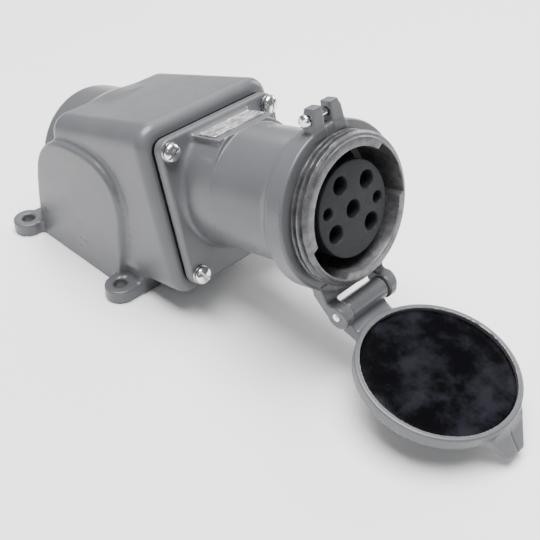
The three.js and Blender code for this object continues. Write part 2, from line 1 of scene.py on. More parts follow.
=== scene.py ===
"""The looks of an angled pin-and-sleeve power receptacle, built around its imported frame.

Shapes are worked out in millimetres in one of three frames, then placed in metres:
  FEET   the part's own frame, z = 0 on the mounting plane;
  MOUTH  z out of the receptacle's mouth, y up, origin on its axis at the flange's front face;
  FLAP   the MOUTH frame of the closed cover, swung to where the cover stands open.
Castings are distance fields (negative inside, millimetres) turned into meshes, so that their edges and
inner corners are rounded as cast metal is. Turned, swept and cut pieces are built from their profiles.
"""
import json
import math

import bmesh
import bpy
import numpy as np
from mathutils import Matrix, Vector

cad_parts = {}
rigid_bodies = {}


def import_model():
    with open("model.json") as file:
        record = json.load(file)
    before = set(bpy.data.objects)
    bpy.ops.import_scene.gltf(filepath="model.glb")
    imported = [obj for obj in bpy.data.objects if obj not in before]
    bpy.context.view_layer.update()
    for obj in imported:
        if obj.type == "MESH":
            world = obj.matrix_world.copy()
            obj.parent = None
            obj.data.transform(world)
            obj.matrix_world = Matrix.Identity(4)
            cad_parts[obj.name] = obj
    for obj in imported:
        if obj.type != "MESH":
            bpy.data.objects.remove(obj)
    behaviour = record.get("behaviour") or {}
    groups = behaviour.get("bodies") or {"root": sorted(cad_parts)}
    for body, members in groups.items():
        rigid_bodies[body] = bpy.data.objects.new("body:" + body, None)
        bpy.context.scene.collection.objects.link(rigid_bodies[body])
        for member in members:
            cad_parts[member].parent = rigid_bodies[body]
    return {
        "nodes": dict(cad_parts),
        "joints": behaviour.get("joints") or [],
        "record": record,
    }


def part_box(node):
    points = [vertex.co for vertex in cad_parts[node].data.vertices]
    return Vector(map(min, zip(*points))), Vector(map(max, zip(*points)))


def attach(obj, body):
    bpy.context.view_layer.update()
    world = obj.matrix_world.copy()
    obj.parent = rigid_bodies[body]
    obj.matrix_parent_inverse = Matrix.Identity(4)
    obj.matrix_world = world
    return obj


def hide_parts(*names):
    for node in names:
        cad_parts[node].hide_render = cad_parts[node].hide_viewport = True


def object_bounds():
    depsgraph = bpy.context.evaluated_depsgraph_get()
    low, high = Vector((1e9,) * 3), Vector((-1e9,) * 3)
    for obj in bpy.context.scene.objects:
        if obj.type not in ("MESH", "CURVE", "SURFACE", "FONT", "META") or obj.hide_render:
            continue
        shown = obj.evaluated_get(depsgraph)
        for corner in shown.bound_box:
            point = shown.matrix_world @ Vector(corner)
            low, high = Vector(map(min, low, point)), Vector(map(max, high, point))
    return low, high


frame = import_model()
cad_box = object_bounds()

# ---- Sizes, in millimetres --------------------------------------------------------------------------
MM = 0.001
RIM = 122.0                       # the mouth, ahead of the flange face
RIM_MOUNT_HEIGHT = 44.0           # the mouth_rim mount's height above the receptacle's axis
DROP = 6.0                        # the box and flange are centred this far below the axis
BOX_FRONT, BOX_BACK = -12.0, -134.0
BOX_HALF_X, BOX_HALF_Y, BOX_CORNER, BOX_EDGE = 62.3, 66.7, 16.0, 8.0
BOX_DRAFT_X, BOX_DRAFT_Y = 0.963, 0.923
CHEEK_IN, CHEEK_OUT = 50.0, 66.5
FOOT_X, FOOT_Y, FOOT_RADIUS, FOOT_THICK, FOOT_HOLE = 72.0, 62.5, 12.5, 11.0, 5.35
HUB_RADIUS, HUB_END, HUB_LIFT, HUB_BORE, HUB_STOP = 55.0, -171.0, 0.6, 42.0, 38.0
FLANGE_X, FLANGE_Y, FLANGE_CORNER, FLANGE_THICK = 54.5, 56.5, 9.0, 9.0
SCREW_X, SCREW_Y = 47.5, 48.0
BARREL, BORE = 46.0, 41.0
COLLAR, COLLAR_BACK, COLLAR_FRONT = 57.0, 97.0, 108.3
PLATE_TOP, PAD_X, PAD_LENGTH = 45.8, 26.5, 29.0
HINGE_Y, HINGE_Z, KNUCKLE, PIN = -69.2, RIM - 9.7, 8.0, 3.0
LUG_SCREW_Y, LUG_SCREW_Z = 64.0, 104.0
COVER_RADIUS, COVER_POCKET, COVER_LIP = 56.5, 52.8, RIM - 2.2
COVER_SEAT, COVER_BACK = RIM + 4.6, RIM + 12.5
INSULATOR_FACE = RIM - 4.5
KEYWAYS, KEYWAY_RADIUS = ((-9.5, 49), (191, 243)), 45.5       # angles in degrees
CAVITY_X, CAVITY_Y, CAVITY_CORNER, CAVITY_LENGTH = 51, 52, 10, 112
TAP, TAP_DEPTH, TAP_BOSS, TAP_BOSS_DEPTH, SCREW_CLEARANCE = 4.2, 21, 9, 24, 4.4
SPIGOT, SPIGOT_FROM = 47.3, 90    # the recess in the collar that holds the threaded nose
SHOULDER, SHOULDER_AT, SHOULDER_END = 37.5, 70, 74
EAR_RADIUS, EAR_IN, EAR_OUT = 9.5, 19, 26.5
PIN_PLAY, KNUCKLE_ROOM, LUG_HOLE = 0.15, 0.9, 2.8
THREAD_ROOT, THREAD_CREST, THREAD_PITCH = 48.0, 50.9, 4.4
SOCKET_SPLIT = 69.7               # the front of the sockets' flanges
POWER_AT = [(0.0, 0.0)] + [(21.4 * math.cos(math.radians(a)), 21.4 * math.sin(math.radians(a)))
                           for a in (113, 41.5, -46.5, 207)]
PILOT_AT = [(23.8 * math.cos(math.radians(a)), 23.8 * math.sin(math.radians(a))) for a in (-4.5, 164.5)]

# ---- Frames -----------------------------------------------------------------------------------------
rim_mount = next(m for m in frame["record"]["mounts"] if m["name"] == "mouth_rim")
hinge_joint = frame["joints"][0]
OUT = Vector(rim_mount["axis"]).normalized()
ACROSS = Vector((1, 0, 0))
UP = OUT.cross(ACROSS)
AXIS_ORIGIN = Vector(rim_mount["pos_m"]) - UP * RIM_MOUNT_HEIGHT * MM - OUT * RIM * MM
FEET = Matrix.Scale(MM, 4)
MOUTH = Matrix.Translation(AXIS_ORIGIN) @ Matrix((ACROSS, UP, OUT)).transposed().to_4x4() @ FEET
open_angle = math.radians(-hinge_joint["range_deg"][0])
hinge_line = Vector((0, HINGE_Y, HINGE_Z))
FLAP = (MOUTH @ Matrix.Translation(hinge_line) @ Matrix.Rotation(open_angle, 4, "X")
        @ Matrix.Translation(-hinge_line))
BODY, COVER_BODY = hinge_joint["parent"], hinge_joint["child"]


# ---- Materials --------------------------------------------------------------------------------------
def tree(name):
    material = bpy.data.materials.new(name)
    material.use_nodes = True
    nodes = material.node_tree.nodes
    return material, nodes, material.node_tree.links, nodes["Principled BSDF"]


def settings(node, **values):
    for key, value in values.items():
        node.inputs[key.replace("_", " ").title() if key.islower() else key].default_value = value
    return node


def local_coordinates(nodes, links, place):
    """Coordinates in metres along a frame's own axes."""
    where = nodes.new("ShaderNodeTexCoord")
    turn = nodes.new("ShaderNodeMapping")
    turn.vector_type = "TEXTURE"
    turn.inputs["Location"].default_value = place.translation
    turn.inputs["Rotation"].default_value = place.to_euler()
    links.new(where.outputs["Object"], turn.inputs["Vector"])
    return turn.outputs["Vector"]


def noise(nodes, links, where, scale, detail=3.0, roughness=0.5, stretch=None):
    if stretch:
        squash = nodes.new("ShaderNodeMapping")
        squash.inputs["Scale"].default_value = stretch
        links.new(where, squash.inputs["Vector"])
        where = squash.outputs["Vector"]
    texture = nodes.new("ShaderNodeTexNoise")
    settings(texture, scale=scale, detail=detail, roughness=roughness)
    links.new(where, texture.inputs["Vector"])
    return texture.outputs["Fac"]


def ramp(nodes, links, value, low, high, first, last):
    """A colour or grey that runs from `first` at `low` to `last` at `high`."""
    band = nodes.new("ShaderNodeValToRGB")
    stops = band.color_ramp.elements
    for stop, position, colour in ((stops[0], low, first), (stops[1], high, last)):
        stop.position = position
        stop.color = (*colour, 1) if isinstance(colour, tuple) else (colour, colour, colour, 1)
    links.new(value, band.inputs["Fac"])
    return band.outputs["Color"]


def bump(nodes, links, height, strength, distance, after=None):
    node = nodes.new("ShaderNodeBump")
    settings(node, strength=strength, distance=distance)
    links.new(height, node.inputs["Height"])
    if after:
        links.new(after, node.inputs["Normal"])
    return node.outputs["Normal"]


def enamel():
    """Grey enamel on cast metal: soft clouding, orange peel and the fine grain of the casting under it."""
    material, nodes, links, shader = tree("grey_enamel")
    where = local_coordinates(nodes, links, Matrix.Identity(4))
    cloud = noise(nodes, links, where, 22, 4, 0.6)
    grain = noise(nodes, links, where, 900, 2, 0.6)
    peel = noise(nodes, links, where, 240, 2, 0.5)
    links.new(ramp(nodes, links, cloud, 0.3, 0.7, (0.088, 0.09, 0.097), (0.101, 0.103, 0.110)),
              shader.inputs["Base Color"])
    links.new(ramp(nodes, links, noise(nodes, links, where, 60, 3), 0.3, 0.7, 0.27, 0.36),
          shader.inputs["Roughness"])
    fine = bump(nodes, links, grain, 0.25, 0.00008)
    links.new(bump(nodes, links, peel, 0.3, 0.00025, fine), shader.inputs["Normal"])
    return material


def machined(name, place, colour, dark, roughness, metallic, pitch):
    """Metal off a lathe: fine rings about the frame's z axis, uneven shine and a little staining."""
    material, nodes, links, shader = tree(name)
    where = local_coordinates(nodes, links, place)
    rings = noise(nodes, links, where, 1 / pitch, 2, 0.6, stretch=(0.02, 0.02, 1))
    stain = noise(nodes, links, where, 130, 4, 0.65)
    links.new(ramp(nodes, links, stain, 0.35, 0.65, dark, colour), shader.inputs["Base Color"])
    wear = noise(nodes, links, where, 400, 3)
    links.new(ramp(nodes, links, wear, 0.3, 0.7, roughness - 0.07, roughness + 0.09),
              shader.inputs["Roughness"])
    shader.inputs["Metallic"].default_value = metallic
    links.new(bump(nodes, links, rings, 0.35, 0.00012), shader.inputs["Normal"])
    return material


def rubber(name, place, colour, painted_sheen_colour, patch, shine, wave):
    """Moulded black rubber with painted sheen, in lighter and rougher patches of its colour, a leathery
    surface and slow dents.
    """
    material, nodes, links, shader = tree(name)
    where = local_coordinates(nodes, links, place)
    painted_sheen_mask = noise(nodes, links, where, patch, 5, 0.6)
    # The lighter colour of these noise patches is painted sheen, standing in for reflections on the rubber.
    links.new(ramp(nodes, links, painted_sheen_mask, 0.45, 0.62, colour, painted_sheen_colour), shader.inputs["Base Color"])
    links.new(ramp(nodes, links, painted_sheen_mask, 0.4, 0.65, shine, shine + 0.22), shader.inputs["Roughness"])
    shader.inputs["Specular IOR Level"].default_value = 0.07
    grain = bump(nodes, links, noise(nodes, links, where, 1400, 2), 0.3, 0.0001)
    dents = noise(nodes, links, where, patch, 2)
    links.new(bump(nodes, links, dents, wave, 0.002, grain), shader.inputs["Normal"])
    return material


def phenolic():
    """Moulded charcoal insulator with a faint filler pattern."""
    material, nodes, links, shader = tree("charcoal_phenolic")
    where = local_coordinates(nodes, links, Matrix.Identity(4))
    flecks = noise(nodes, links, where, 700, 3, 0.7)
    cloud = noise(nodes, links, where, 45, 4)
    links.new(ramp(nodes, links, cloud, 0.3, 0.7, (0.011, 0.0125, 0.014), (0.016, 0.018, 0.020)),
              shader.inputs["Base Color"])
    links.new(ramp(nodes, links, flecks, 0.35, 0.65, 0.45, 0.6), shader.inputs["Roughness"])
    shader.inputs["Specular IOR Level"].default_value = 0.2
    links.new(bump(nodes, links, flecks, 0.25, 0.0001), shader.inputs["Normal"])
    return material


def plate_metal():
    """Brushed silver plate with a worn, unevenly printed ground."""
    material, nodes, links, shader = tree("brushed_plate")
    where = local_coordinates(nodes, links, MOUTH)
    brushed = noise(nodes, links, where, 3000, 3, 0.6, stretch=(0.03, 1, 1))
    worn = noise(nodes, links, where, 260, 3, 0.6, stretch=(0.5, 1, 1))
    links.new(ramp(nodes, links, worn, 0.42, 0.58, (0.3, 0.3, 0.31), (0.78, 0.78, 0.79)),
              shader.inputs["Base Color"])
    links.new(ramp(nodes, links, brushed, 0.3, 0.7, 0.26, 0.42), shader.inputs["Roughness"])
    shader.inputs["Metallic"].default_value = 0.75
    links.new(bump(nodes, links, brushed, 0.3, 0.00006), shader.inputs["Normal"])
    return material


ENAMEL = enamel()
RAW_CASTING = machined("machined_casting", MOUTH, (0.16, 0.16, 0.165), (0.085, 0.086, 0.09), 0.34, 0.6,
                       0.0006)
STAINLESS = machined("polished_stainless", MOUTH, (0.8, 0.8, 0.8), (0.7, 0.7, 0.71), 0.14, 1.0, 0.0003)
SPRING_STEEL = machined("spring_steel", MOUTH, (0.5, 0.5, 0.51), (0.38, 0.38, 0.4), 0.26, 1.0, 0.0004)
BRASS = machined("machined_brass", MOUTH, (0.34, 0.25, 0.13), (0.2, 0.15, 0.08), 0.34, 1.0, 0.0004)
# The second colour given to each rubber is its painted sheen.
SHEET_RUBBER = rubber("sheet_rubber", MOUTH, (0.0015, 0.0015, 0.002), (0.003, 0.003, 0.004), 90, 0.6, 0.1)
COVER_RUBBER = rubber("cover_rubber", FLAP, (0.0015, 0.0015, 0.0022), (0.007, 0.007, 0.011), 38, 0.16, 0.35)
PHENOLIC = phenolic()
PLATE_METAL = plate_metal()


# ---- Mesh tools -------------------------------------------------------------------------------------
def piece(name, vertices, faces, place, body, slot, material, stands_for, sharp=30):
    """A closed mesh from millimetres in `place`, on a body, in place of the CAD nodes it stands for."""
    thing = tool(vertices, faces, place, name)
    thing.data.materials.append(material)
    shade(thing, sharp)
    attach(thing, body)
    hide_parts(*stands_for)
    return thing


def shade(thing, sharp):
    thing.data.shade_smooth()
    thing.data.set_sharp_from_angle(angle=math.radians(sharp))


def tool(vertices, faces, place, name="tool"):
    """An object from millimetres in `place`, with its faces turned outward."""
    mesh = bpy.data.meshes.new(name)
    mesh.from_pydata([tuple(v) for v in vertices], [], [tuple(f) for f in faces])
    mesh.transform(place)
    build = bmesh.new()
    build.from_mesh(mesh)
    bmesh.ops.recalc_face_normals(build, faces=build.faces)
    build.to_mesh(mesh)
    build.free()
    thing = bpy.data.objects.new(name, mesh)
    bpy.context.scene.collection.objects.link(thing)
    return thing


def cut(thing, tools, sharp=30):
    """Takes the tools' shapes out of a piece, and the tools away."""
    for cutter in tools:
        modifier = thing.modifiers.new("cut", "BOOLEAN")
        modifier.object = cutter
        modifier.operation = "DIFFERENCE"
        modifier.solver = "EXACT"
    evaluated = thing.evaluated_get(bpy.context.evaluated_depsgraph_get())
    result = bpy.data.meshes.new_from_object(evaluated)
    thing.modifiers.clear()
    thing.data = result
    for cutter in tools:
        bpy.data.objects.remove(cutter)
    shade(thing, sharp)


def softened(profile, radius, closed=False, steps=3):
    """The profile with each corner replaced by a curve that starts `radius` away from it."""
    points = [np.array(p, float) for p in profile]
    last = len(points) - 1
    result = []
    for i, corner in enumerate(points):
        if not closed and i in (0, last):
            result.append(corner)
            continue
        before, after = points[i - 1], points[(i + 1) % len(points)]
        reach = min(radius, 0.45 * np.linalg.norm(before - corner), 0.45 * np.linalg.norm(after - corner))
        start = corner + (before - corner) / np.linalg.norm(before - corner) * reach
        end = corner + (after - corner) / np.linalg.norm(after - corner) * reach
        for t in np.linspace(0, 1, steps + 1):
            result.append((1 - t) ** 2 * start + 2 * t * (1 - t) * corner + t * t * end)
    return result


def turned(profile, segments=96):
    """Vertices and faces of [radius, z] points spun about z, from axis to axis or as a closed loop."""
    vertices, faces, rows = [], [], []
    for r, z in profile:
        if r < 1e-6:
            rows.append([len(vertices)] * segments)
            vertices.append((0, 0, z))
        else:
            rows.append(list(range(len(vertices), len(vertices) + segments)))
            vertices += [(r * math.cos(a), r * math.sin(a), z)
                         for a in (2 * math.pi * k / segments for k in range(segments))]
    closed = profile[0][0] > 1e-6
    pairs = list(zip(rows, rows[1:] + rows[:1] if closed else rows[1:]))
    for first, second in pairs:
        for k in range(segments):
            corners = [first[k], first[(k + 1) % segments], second[(k + 1) % segments], second[k]]
            face = list(dict.fromkeys(corners))
            if len(face) > 2:
                faces.append(face)
    return vertices, faces


def looped(rows, closed=True, caps=False):
    """Rows of equally many points joined side by side; each row closes on itself."""
    rows = [np.asarray(row, float) for row in rows]
    count = len(rows[0])
    vertices = np.concatenate(rows)
    faces = []
    spans = len(rows) if closed else len(rows) - 1
    for i in range(spans):
        a, b = i * count, (i + 1) % len(rows) * count
        faces += [(a + k, a + (k + 1) % count, b + (k + 1) % count, b + k) for k in range(count)]
    if caps:
        faces += [tuple(range(count)), tuple(range(len(vertices) - count, len(vertices)))]
    return vertices, faces


def outline(half_x, half_y, corner, z, centre_y=0.0, per_corner=12):
    """A rounded rectangle of points at height z."""
    points = []
    for quarter, (sx, sy) in enumerate(((1, 1), (-1, 1), (-1, -1), (1, -1))):
        for k in range(per_corner):
            a = math.pi / 2 * (quarter + k / (per_corner - 1))
            points.append((sx * (half_x - corner) + corner * math.cos(a),
                           centre_y + sy * (half_y - corner) + corner * math.sin(a), z))
    return points


# ---- Distance fields --------------------------------------------------------------------------------
def between(value, low, high):
    return np.maximum(low - value, value - high)


def meet(a, b, edge):
    """The part of space inside both fields, its shared edge rounded by `edge`."""
    a, b = a + edge, b + edge
    return np.hypot(np.maximum(a, 0), np.maximum(b, 0)) + np.minimum(np.maximum(a, b), 0) - edge


def rectangle(x, y, half_x, half_y, corner):
    return meet(np.abs(x) - half_x, np.abs(y) - half_y, corner)


def blend(a, b, radius):
    """Both bodies in one, with a fillet of about `radius` where they join."""
    share = np.clip(0.5 + 0.5 * (b - a) / radius, 0, 1)
    return b + (a - b) * share - radius * share * (1 - share)


def carve(a, b, radius=0.8):
    return -blend(-a, b, radius)


def polygon(u, v, points):
    """Distance to a flat polygon."""
    nearest, inside = np.inf, np.zeros(np.broadcast(u, v).shape, bool)
    for (au, av), (bu, bv) in zip(points, points[1:] + points[:1]):
        du, dv = bu - au, bv - av
        along = np.clip(((u - au) * du + (v - av) * dv) / (du * du + dv * dv), 0, 1)
        nearest = np.minimum(nearest, (u - au - along * du) ** 2 + (v - av - along * dv) ** 2)
        crosses = (av <= v) != (bv <= v)
        inside ^= crosses & (((u - au) * dv - (v - av) * du < 0) == (dv > 0))
    return np.where(inside, -1, 1) * np.sqrt(nearest)


def surface(field, low, high, step):
    """Vertices and quads of a field's zero surface: one vertex a grid cell, moved onto the surface."""
    axes = [np.arange(a, b + step, step, dtype=np.float32) for a, b in zip(low, high)]
    value = field(*np.meshgrid(*axes, indexing="ij", sparse=True)).astype(np.float32)
    cells = tuple(n - 1 for n in value.shape)
    total, hits, crossings = np.zeros(cells + (3,)), np.zeros(cells), []
    for axis in range(3):
        lower = np.moveaxis(value, axis, 0)[:-1]
        upper = np.moveaxis(value, axis, 0)[1:]
        index = np.argwhere((lower < 0) != (upper < 0))
        a, b = lower[tuple(index.T)], upper[tuple(index.T)]
        index = np.insert(index[:, 1:], axis, index[:, 0], axis=1)
        point = index.astype(float)
        point[:, axis] += a / (a - b)
        crossings.append((index, a < 0))
        u, v = (axis + 1) % 3, (axis + 2) % 3
        for du, dv in ((0, 0), (-1, 0), (-1, -1), (0, -1)):
            cell = index.copy()
            cell[:, u] += du
            cell[:, v] += dv
            inside = ((cell >= 0) & (cell < cells)).all(1)
            where = tuple(cell[inside].T)
            np.add.at(total, where, point[inside])
            np.add.at(hits, where, 1)
    used = hits > 0
    number = np.full(cells, -1)
    number[used] = np.arange(used.sum())
    points = total[used] / hits[used][:, None] * step + np.array(low)
    quads = []
    for axis, (index, rising) in enumerate(crossings):
        u, v = (axis + 1) % 3, (axis + 2) % 3
        ring = []
        for du, dv in ((-1, -1), (0, -1), (0, 0), (-1, 0)):
            cell = index.copy()
            cell[:, u] += du
            cell[:, v] += dv
            ring.append(number[tuple(cell.T)])
        ring = np.stack(ring, 1)
        ring[~rising] = ring[~rising][:, ::-1]
        quads.append(ring)
    reach = 0.2 * step
    start = points.copy()
    for _ in range(3):
        here = field(*points.T)
        slope = np.stack([(field(*(points + shift).T) - field(*(points - shift).T)) / (2 * reach)
                          for shift in np.eye(3) * reach], 1)
        steps = (here / np.maximum((slope ** 2).sum(1), 0.05))[:, None] * slope
        points = np.clip(points - steps, start - 0.45 * step, start + 0.45 * step)
    return points, np.concatenate(quads)


def curve(points, steps=10):
    """Points along a cubic Bezier curve, without its last one."""
    a, b, c, d = (np.array(p, float) for p in points)
    return [tuple((1 - t) ** 3 * a + 3 * t * (1 - t) ** 2 * b + 3 * t * t * (1 - t) * c + t ** 3 * d)
            for t in np.arange(steps) / steps]


# ---- Back box ---------------------------------------------------------------------------------------
ARCH_SHIFT = -117.5               # from the outline's own origin to the middle of the feet
arch_outline = [(y + ARCH_SHIFT, z) for y, z in
                [(58, -12)] + curve([(49.5, 66), (48.5, 97), (66, 112.5), (94, 112.5)])
                + curve([(94, 112.5), (128, 112.5), (152, 103), (163.5, 76)])
                + curve([(163.5, 76), (170.5, 55.3), (174.7, 26), (176, -12)]) + [(176, -12)]]
CHEEK_ROUND, CHEEK_INSET, CHEEK_FILLET = 3.6, 4.5, 4.0
FOOT_WEB_X, FOOT_WEB_TOP = 61.0, 26.0    # the solid web under the front of the box


def back_box_field(x, y, z):
    dy, dz = y - AXIS_ORIGIN.y / MM, z - AXIS_ORIGIN.z / MM
    height, depth = dy * UP.y + dz * UP.z, dy * OUT.y + dz * OUT.z
    side = np.abs(x)
    draft = np.clip((BOX_FRONT - depth) / (BOX_FRONT - BOX_BACK), 0, 1)
    walls = rectangle(x / (1 - draft * (1 - BOX_DRAFT_X)), (height + DROP) / (1 - draft * (1 - BOX_DRAFT_Y)),
                      BOX_HALF_X, BOX_HALF_Y, BOX_CORNER)
    body = meet(walls, between(depth, BOX_BACK, BOX_FRONT), BOX_EDGE)
    hub_radius = np.hypot(x, height - HUB_LIFT)
    hub = meet(hub_radius - HUB_RADIUS, between(depth, HUB_END, BOX_BACK + 25), 2.5)
    body = blend(body, hub, 6)
    arch = polygon(y, z, arch_outline)
    cheek = meet(arch + CHEEK_INSET, between(side, CHEEK_IN, CHEEK_OUT), CHEEK_ROUND)
    body = blend(body, cheek, CHEEK_FILLET)
    front_feet = meet(rectangle(x, y + FOOT_Y, FOOT_X + FOOT_RADIUS, FOOT_RADIUS, FOOT_RADIUS - 0.01),
                      between(z, -5, FOOT_THICK), 1.4)
    rear_lug = np.minimum(np.hypot(side - FOOT_X, y - FOOT_Y) - FOOT_RADIUS,
                          rectangle(side - FOOT_X + 10, y - FOOT_Y + 3, 10, 9.5, 2))
    rear_feet = meet(rear_lug, between(z, -5, FOOT_THICK), 1.4)
    body = blend(body, np.minimum(front_feet, rear_feet), 4)
    under_corner = meet(rectangle(x, y + FOOT_Y, FOOT_WEB_X, FOOT_RADIUS - 1, 4),
                        between(z, -5, FOOT_WEB_TOP), 3)
    body = blend(body, under_corner, 5)
    bosses = np.hypot(side - SCREW_X, np.abs(height + DROP) - SCREW_Y)
    cavity = meet(rectangle(x, height + DROP, CAVITY_X, CAVITY_Y, CAVITY_CORNER),
                  between(depth, BOX_FRONT - CAVITY_LENGTH, BOX_FRONT + 6), 2)
    boss_span = between(depth, BOX_FRONT - TAP_BOSS_DEPTH, BOX_FRONT + 9)
    cavity = carve(cavity, np.maximum(bosses - TAP_BOSS, boss_span), 1)
    earth = np.maximum(np.hypot(x, depth + 62) - 7, height + DROP + CAVITY_Y - 10)
    cavity = carve(cavity, earth, 1)
    bore = np.minimum(hub_radius - np.where(depth < HUB_END + 26, HUB_BORE, HUB_STOP),
                      hub_radius - HUB_BORE - 1.2 + np.abs(depth - HUB_END))
    bore = np.maximum(bore, depth - BOX_BACK - 20)
    body = carve(body, np.minimum(cavity, bore), 0.8)
    body = carve(body, np.maximum(bosses - TAP, BOX_FRONT - TAP_DEPTH - depth), 0.5)
    holes = np.minimum(np.hypot(side - FOOT_X, np.abs(y) - FOOT_Y) - FOOT_HOLE,
                       np.hypot(side - FOOT_X, np.abs(y) - FOOT_Y) - FOOT_HOLE - 1 + np.abs(z - FOOT_THICK))
    body = carve(body, holes, 0.5)
    return np.maximum(body, -z)


def make_back_box(step):
    low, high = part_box("back_box")
    margin = 3
    reach = [c / MM - margin for c in low], [c / MM + margin for c in high]
    points, faces = surface(back_box_field, *reach, step)
    piece("cast_back_box", points, faces, FEET, BODY, "painted_casting", ENAMEL, ["back_box"], 50)


# ---- Receptacle housing -----------------------------------------------------------------------------
EAR_PROFILE = [(-45, 100), (-45, COLLAR_FRONT), (-58, COLLAR_FRONT), (HINGE_Y + 2, HINGE_Z + 9),
               (HINGE_Y - 2, HINGE_Z - EAR_RADIUS), (-54, 98)]
EAR_PLAN = [(EAR_IN, -44), (EAR_IN, -82), (EAR_OUT, -82), (EAR_OUT, -71), (33, -45.5), (33, -44)]
LUG_PLAN = [(3.5, 50), (3.5, 70.5), (11, 70.5), (13.5, 65.5), (15.5, 50)]


def housing_field(x, y, z):
    radius, side = np.hypot(x, y), np.abs(x)
    plate = rectangle(x, y + DROP, FLANGE_X, FLANGE_Y, FLANGE_CORNER)
    flange = meet(plate, between(z, -FLANGE_THICK, 0), 1.7)
    barrel = np.maximum(radius - BARREL, between(z, -FLANGE_THICK, 92))
    saddle = meet(np.hypot(x, y - 6) - 44, between(z, -FLANGE_THICK, PAD_LENGTH + 1), 0.8)
    saddle = np.maximum(saddle, y - PLATE_TOP * (side < PAD_X) - 200 * (side >= PAD_X))
    pad = meet(rectangle(x, y - 30, PAD_X, PLATE_TOP - 30, 0.8), between(z, -2, PAD_LENGTH), 0.8)
    rib = meet(rectangle(x, y + 45, 11, 8, 5), between(z, 12, 54), 3)
    flare = np.maximum((radius - BARREL) * 0.66 - (z - 85) * 0.75, between(z, 70, COLLAR_BACK + 3))
    collar = meet(radius - COLLAR, between(z, COLLAR_BACK - 1, COLLAR_FRONT), 1.3)
    nose = blend(barrel, np.maximum(blend(flare, collar, 2), radius - COLLAR), 6)
    body = blend(nose, np.minimum(saddle, pad), 1.2)
    body = blend(body, flange, 5)
    body = blend(body, rib, 1.5)
    ears = np.minimum(polygon(y, z, EAR_PROFILE), np.hypot(y - HINGE_Y, z - HINGE_Z) - EAR_RADIUS)
    body = blend(body, meet(ears, polygon(side, y, EAR_PLAN), 1.5), 2)
    bridge = meet(rectangle(y + 55.2, z - 102.8, 3.3, 5.5, 1), side - 21, 0.8)
    body = blend(body, bridge, 1.5)
    body = blend(body, meet(polygon(side, y, LUG_PLAN), between(z, 99.5, COLLAR_FRONT), 0.9), 1.6)
    behind = np.where(between(z, SHOULDER_AT, SHOULDER_END) < 0, radius - SHOULDER, radius - BORE)
    hollow = np.where(z > SPIGOT_FROM, radius - SPIGOT, behind)
    hollow = np.minimum(hollow, np.maximum(radius - BORE - 2, between(z, 30.3, 33)))
    body = np.maximum(body, -hollow)
    from_pin = np.hypot(y - HINGE_Y, z - HINGE_Z)
    body = carve(body, np.maximum(from_pin - KNUCKLE - KNUCKLE_ROOM, side - EAR_IN), 0.5)
    body = np.maximum(body, PIN + PIN_PLAY - np.hypot(y - HINGE_Y, z - HINGE_Z))
    body = np.maximum(body, LUG_HOLE - np.hypot(y - LUG_SCREW_Y, z - LUG_SCREW_Z) - 100 * (y < 50))
    return np.maximum(body, SCREW_CLEARANCE - np.hypot(side - SCREW_X, np.abs(y + DROP) - SCREW_Y))


def make_housing(step):
    points, faces = surface(housing_field, (-60, -83, -12), (60, 74, HINGE_Z + 13), step)
    piece("cast_housing", points, faces, MOUTH, BODY, "painted_casting", ENAMEL, ["receptacle_housing"], 50)


def make_sleeve():
    """The nose ring: a helical thread outside, keyways inside."""
    angles = np.linspace(0, 2 * math.pi, 360, endpoint=False)
    inner = np.full_like(angles, BORE)
    for first, last in KEYWAYS:
        turn = (np.degrees(angles) - first) % 360
        width = last - first
        cut_in = np.clip(np.minimum(turn, width - turn) / 1.6 + 0.5, 0, 1) * (turn < width + 2)
        inner += (KEYWAY_RADIUS - BORE) * cut_in

    def row(radius, z):
        radius = np.broadcast_to(radius, angles.shape)
        return np.stack([radius * np.cos(angles), radius * np.sin(angles), np.full_like(angles, z)], 1)

    root, crest, pitch = THREAD_ROOT, THREAD_CREST, THREAD_PITCH
    rows = [row(inner, 90.3), row(inner, RIM - 0.6), row(inner + 0.3, RIM - 0.1), row(inner + 0.7, RIM)]
    rows += [row(46.3, RIM), row(46.9, RIM - 0.15)]
    for z in np.arange(RIM - 0.5, COLLAR_FRONT + 0.5, -0.2):
        phase = ((RIM - 2.2 - z) / pitch + angles / (2 * math.pi) + 0.1) % 1
        ridge = np.clip(np.minimum(phase / 0.22, (0.72 - phase) / 0.2), 0, 1)
        ridge = ridge * ridge * (3 - 2 * ridge)
        front = np.clip((RIM - z) / 3.0, 0.12, 1)
        rows.append(row(root + (crest - root) * ridge * front - 0.9 * (1 - front), z))
    rows += [row(root, COLLAR_FRONT + 0.3), row(47.0, COLLAR_FRONT + 0.3), row(47.0, 90.3)]
    piece("threaded_nose", *looped(rows), MOUTH, BODY, "raw_casting", RAW_CASTING, ["threaded_sleeve"], 40)


def make_flange_gasket():
    front, back = -9.3, -11.7
    shapes = [(54.0, 56.0, 9, back + 0.4), (54.2, 56.2, 9, (front + back) / 2), (54.0, 56.0, 9, front - 0.4),
              (53.6, 55.6, 9, front), (40, 42, 14, front), (40, 42, 14, back), (53.6, 55.6, 9, back)]
    rows = [outline(hx, hy, corner, z, -DROP) for hx, hy, corner, z in shapes]
    gasket = piece("sheet_gasket", *looped(rows), MOUTH, BODY, "gasket_rubber", SHEET_RUBBER,
                   ["flange_gasket"])
    hole = turned([(0, -20), (SCREW_CLEARANCE, -20), (SCREW_CLEARANCE, 0), (0, 0)], 24)
    holes = [tool(*hole, MOUTH @ Matrix.Translation((x, y, 0))) for x, y in screw_places()]
    cut(gasket, holes)


